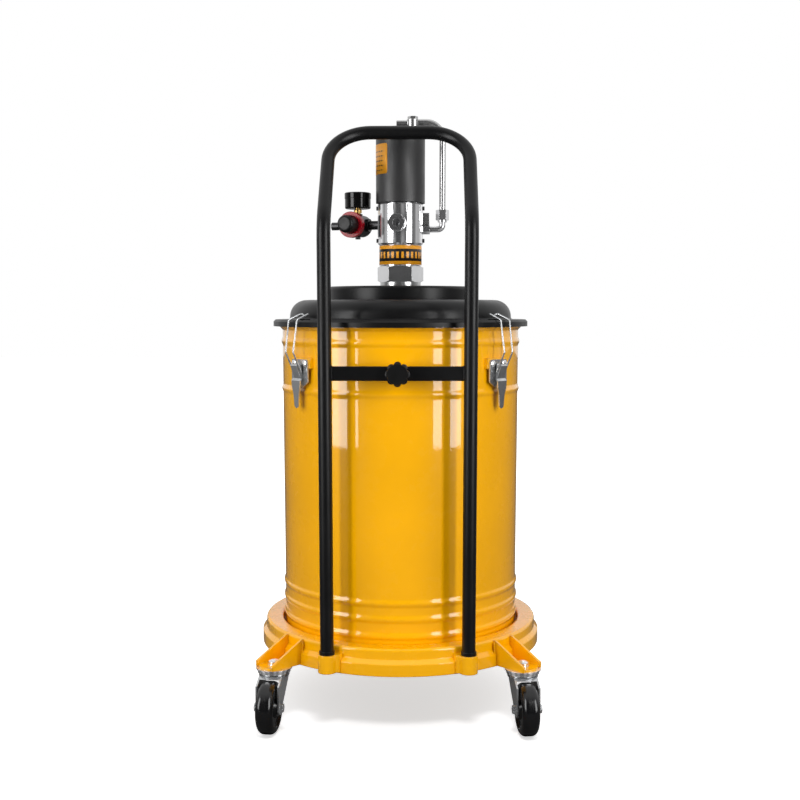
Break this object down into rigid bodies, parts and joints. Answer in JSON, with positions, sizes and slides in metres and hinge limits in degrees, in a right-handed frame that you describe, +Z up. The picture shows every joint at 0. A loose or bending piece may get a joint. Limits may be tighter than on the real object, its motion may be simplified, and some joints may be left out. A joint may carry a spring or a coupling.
{
  "type": "drum pump for gear oil",
  "caption": "Air-operated drum pump for gear oil: yellow beaded drum with a latched black lid on a caster dolly with push handle, air motor, regulator and gauge.",
  "frame": {"origin": "floor level on the axis of the drum", "axes": "+Z up; the push handle and the oil outlet are on the -Y side; the pressure regulator is on the -X side"},
  "size_m": [0.432, 0.4832, 0.8845],
  "materials": {
    "yellow_paint": "gloss orange-yellow powder coat",
    "black_paint": "satin black powder coat",
    "zinc": "bright zinc plate",
    "steel": "machined steel",
    "chrome": "polished chrome",
    "charcoal": "satin charcoal anodised sleeve",
    "knob_plastic": "moulded black plastic",
    "regulator_black": "black painted die casting",
    "red_ring": "red anodised ring",
    "wheel_plastic": "moulded black wheel",
    "dark_steel": "oiled dark steel",
    "gauge_black": "gloss black case",
    "brass": "bare brass",
    "dial_white": "white dial",
    "pointer_red": "red pointer",
    "lens": "clear lens",
    "gasket": "black rubber"
  },
  "bodies": {
    "frame": {"dolly_ring": "yellow_paint", "caster_brackets": "yellow_paint", "handle_sockets": "yellow_paint", "caster_mounts": "chrome", "handle_tube": "black_paint", "handle_crossbar": "black_paint", "drum_shell": "yellow_paint", "drum_brackets": "yellow_paint", "latch_bases": "zinc", "latch_fasteners": "chrome", "lid_catches": "black_paint", "lid_shell": "black_paint", "lid_disc": "black_paint", "lid_gasket": "gasket", "pump_tube": "steel", "coupling_nut": "chrome", "pump_neck": "chrome", "valve_body": "chrome", "outlet_port": "chrome", "body_screws": "dark_steel", "motor_sleeve": "charcoal", "motor_cap": "charcoal", "foot_valve": "steel", "air_pipe": "steel", "pipe_fittings": "chrome", "pilot_valve": "steel", "top_fitting": "steel", "regulator_body": "regulator_black", "regulator_ring": "red_ring", "air_fittings": "dark_steel", "gauge_case": "gauge_black", "gauge_stem": "brass", "gauge_dial": "dial_white", "gauge_lens": "lens"},
    "swivel_front_left": {"caster_fork_front_left": "zinc", "caster_axle_front_left": "zinc"},
    "wheel_front_left": {"caster_wheel_front_left": "wheel_plastic"},
    "swivel_front_right": {"caster_fork_front_right": "zinc", "caster_axle_front_right": "zinc"},
    "wheel_front_right": {"caster_wheel_front_right": "wheel_plastic"},
    "swivel_rear_left": {"caster_fork_rear_left": "zinc", "caster_axle_rear_left": "zinc"},
    "wheel_rear_left": {"caster_wheel_rear_left": "wheel_plastic"},
    "swivel_rear_right": {"caster_fork_rear_right": "zinc", "caster_axle_rear_right": "zinc"},
    "wheel_rear_right": {"caster_wheel_rear_right": "wheel_plastic"},
    "lever_left": {"latch_lever_left": "zinc"},
    "bail_left": {"latch_bail_left": "zinc"},
    "lever_right": {"latch_lever_right": "zinc"},
    "bail_right": {"latch_bail_right": "zinc"},
    "lever_rear": {"latch_lever_rear": "zinc"},
    "bail_rear": {"latch_bail_rear": "zinc"},
    "piston": {"air_piston": "steel", "piston_rod": "chrome", "plunger": "brass"},
    "ball": {"foot_ball": "steel"},
    "adjuster": {"regulator_knob": "knob_plastic"},
    "needle": {"gauge_pointer": "pointer_red"},
    "clamp": {"clamp_knob": "knob_plastic", "clamp_stud": "zinc"}
  },
  "joints": [
    {"name": "caster_swivel_front_left", "type": "hinge", "parent": "frame", "child": "swivel_front_left", "pos_m": [-0.17884, -0.1721, 0.08], "axis": [0, 0, 1], "continuous": true},
    {"name": "wheel_roll_front_left", "type": "hinge", "parent": "swivel_front_left", "child": "wheel_front_left", "pos_m": [-0.18274, -0.20386, 0.0375], "axis": [0.9925, -0.1219, 0], "continuous": true},
    {"name": "caster_swivel_front_right", "type": "hinge", "parent": "frame", "child": "swivel_front_right", "pos_m": [0.17884, -0.1721, 0.08], "axis": [0, 0, 1], "continuous": true},
    {"name": "wheel_roll_front_right", "type": "hinge", "parent": "swivel_front_right", "child": "wheel_front_right", "pos_m": [0.18274, -0.20386, 0.0375], "axis": [0.9925, 0.1219, 0], "continuous": true},
    {"name": "caster_swivel_rear_left", "type": "hinge", "parent": "frame", "child": "swivel_rear_left", "pos_m": [-0.17884, 0.1721, 0.08], "axis": [0, 0, 1], "continuous": true},
    {"name": "wheel_roll_rear_left", "type": "hinge", "parent": "swivel_rear_left", "child": "wheel_rear_left", "pos_m": [-0.18274, 0.20386, 0.0375], "axis": [-0.9925, -0.1219, 0], "continuous": true},
    {"name": "caster_swivel_rear_right", "type": "hinge", "parent": "frame", "child": "swivel_rear_right", "pos_m": [0.17884, 0.1721, 0.08], "axis": [0, 0, 1], "continuous": true},
    {"name": "wheel_roll_rear_right", "type": "hinge", "parent": "swivel_rear_right", "child": "wheel_rear_right", "pos_m": [0.18274, 0.20386, 0.0375], "axis": [-0.9925, 0.1219, 0], "continuous": true},
    {"name": "latch_lever_left", "type": "hinge", "parent": "frame", "child": "lever_left", "pos_m": [-0.14731, -0.12361, 0.518], "axis": [-0.6428, 0.766, 0], "range_deg": [0, 95]},
    {"name": "latch_bail_left", "type": "hinge", "parent": "lever_left", "child": "bail_left", "pos_m": [-0.1457, -0.12226, 0.5085], "axis": [-0.6428, 0.766, 0], "range_deg": [-106.4, 0]},
    {"name": "latch_lever_right", "type": "hinge", "parent": "frame", "child": "lever_right", "pos_m": [0.14731, -0.12361, 0.518], "axis": [-0.6428, -0.766, 0], "range_deg": [0, 95]},
    {"name": "latch_bail_right", "type": "hinge", "parent": "lever_right", "child": "bail_right", "pos_m": [0.1457, -0.12226, 0.5085], "axis": [-0.6428, -0.766, 0], "range_deg": [-106.4, 0]},
    {"name": "latch_lever_rear", "type": "hinge", "parent": "frame", "child": "lever_rear", "pos_m": [0, 0.1923, 0.518], "axis": [1, 0, 0], "range_deg": [0, 95]},
    {"name": "latch_bail_rear", "type": "hinge", "parent": "lever_rear", "child": "bail_rear", "pos_m": [0, 0.1902, 0.5085], "axis": [1, 0, 0], "range_deg": [-106.4, 0]},
    {"name": "piston_stroke", "type": "slide", "parent": "frame", "child": "piston", "axis": [0, 0, 1], "range_m": [0, 0.075]},
    {"name": "foot_ball_lift", "type": "slide", "parent": "frame", "child": "ball", "axis": [0, 0, 1], "range_m": [0, 0.004]},
    {"name": "regulator_adjust", "type": "hinge", "parent": "frame", "child": "adjuster", "pos_m": [-0.07965, -0.01358, 0.7255], "axis": [-0.342, -0.9397, 0], "range_deg": [-360, 360]},
    {"name": "gauge_needle", "type": "hinge", "parent": "frame", "child": "needle", "pos_m": [-0.06597, 0.02401, 0.767], "axis": [0, 0, -1], "range_deg": [0, 270]},
    {"name": "clamp_turn", "type": "hinge", "parent": "frame", "child": "clamp", "pos_m": [0, -0.21, 0.511], "axis": [0, -1, 0], "range_deg": [0, 720]}
  ],
  "couplings": [
    {"joint": "latch_bail_left", "follows": "latch_lever_left", "ratio": -1.12},
    {"joint": "latch_bail_right", "follows": "latch_lever_right", "ratio": -1.12},
    {"joint": "latch_bail_rear", "follows": "latch_lever_rear", "ratio": -1.12}
  ]
}
